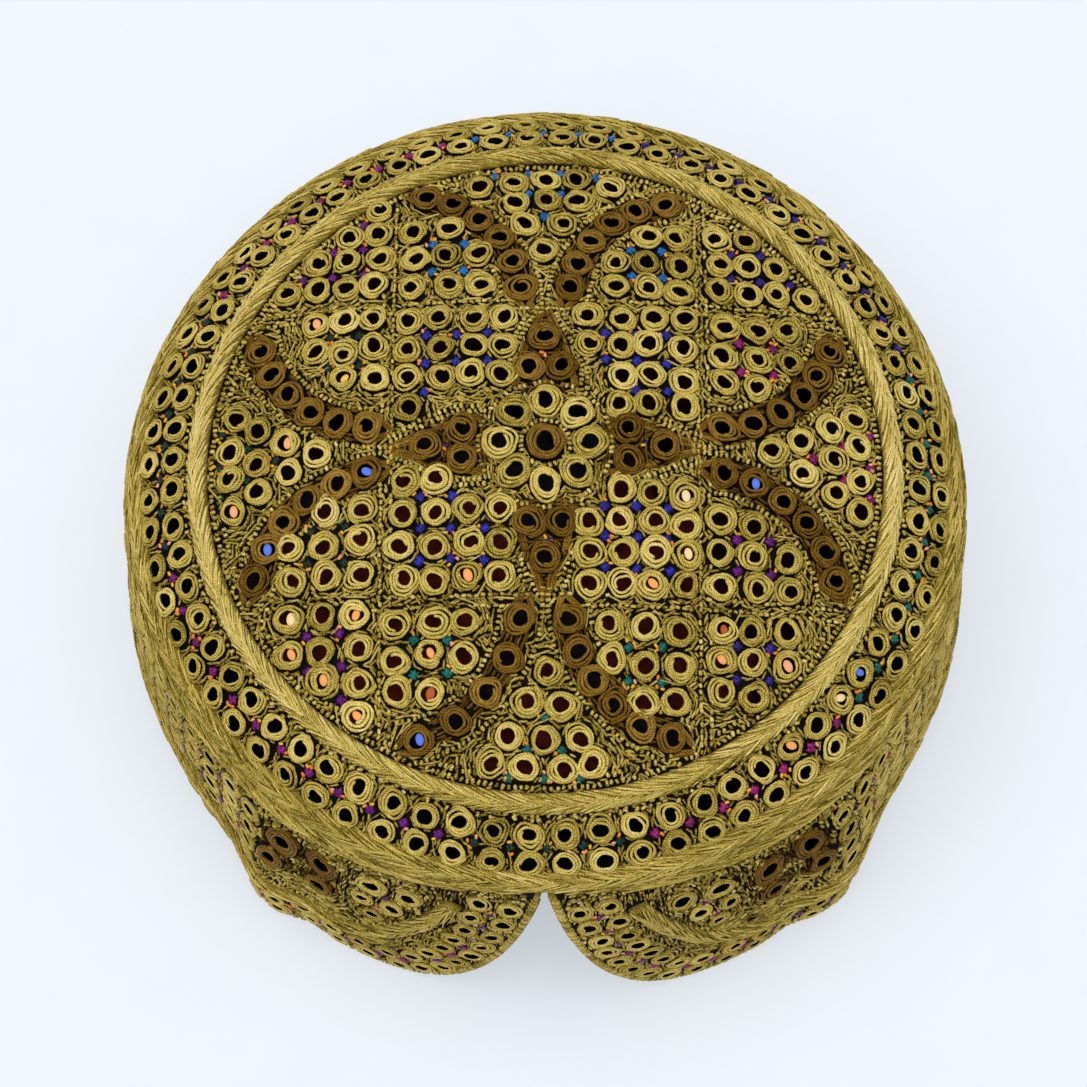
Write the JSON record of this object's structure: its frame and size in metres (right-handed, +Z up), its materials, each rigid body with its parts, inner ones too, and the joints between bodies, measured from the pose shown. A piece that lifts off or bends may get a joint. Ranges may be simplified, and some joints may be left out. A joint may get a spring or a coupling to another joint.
{
  "type": "sindhi cap",
  "caption": "Stiff embroidered cap with a low domed crown, a sloping mirror-work band and an upright wall cut away in an arch at the front.",
  "frame": {"origin": "centre of the cap's bounding box on the surface that its rim rests on", "axes": "+Z up through the crown, -Y towards the arched notch at the front, +X towards the wearer's left"},
  "size_m": [0.1846, 0.1862, 0.0885],
  "materials": {
    "ground_cloth": "black quilted cotton, almost covered by embroidery",
    "gold_thread": "antique gold floss, satin and chain stitched, soft sheen",
    "brown_thread": "bronze brown floss, chain stitched, soft sheen",
    "silk_thread": "blue, purple, magenta, teal, green and orange floss in small stars between the rings",
    "mirror": "small hand-cut mirror glass, dark where nothing bright is reflected"
  },
  "bodies": {
    "root": {"crown_panel": "ground_cloth", "crown_ring_braid": "gold_thread", "shoulder_band": "ground_cloth", "shoulder_braid": "gold_thread", "side_wall": "ground_cloth", "wall_top_braid": "gold_thread", "wall_braid": "gold_thread", "rim_cord": "gold_thread", "brown_arc_front_right_x": "brown_thread", "brown_arc_front_right_y": "brown_thread", "brown_arc_back_right_x": "brown_thread", "brown_arc_back_right_y": "brown_thread", "brown_arc_back_left_x": "brown_thread", "brown_arc_back_left_y": "brown_thread", "brown_arc_front_left_x": "brown_thread", "brown_arc_front_left_y": "brown_thread", "rosette_mirror_centre": "mirror", "rosette_mirror_1": "mirror", "rosette_mirror_2": "mirror", "rosette_mirror_3": "mirror", "rosette_mirror_4": "mirror", "rosette_mirror_5": "mirror", "rosette_mirror_6": "mirror", "rosette_mirror_7": "mirror", "rosette_mirror_8": "mirror", "petal_front_mirror_tip": "mirror", "petal_front_mirror_foot_a": "mirror", "petal_front_mirror_foot_b": "mirror", "petal_right_mirror_tip": "mirror", "petal_right_mirror_foot_a": "mirror", "petal_right_mirror_foot_b": "mirror", "petal_back_mirror_tip": "mirror", "petal_back_mirror_foot_a": "mirror", "petal_back_mirror_foot_b": "mirror", "petal_left_mirror_tip": "mirror", "petal_left_mirror_foot_a": "mirror", "petal_left_mirror_foot_b": "mirror"}
  },
  "joints": []
}
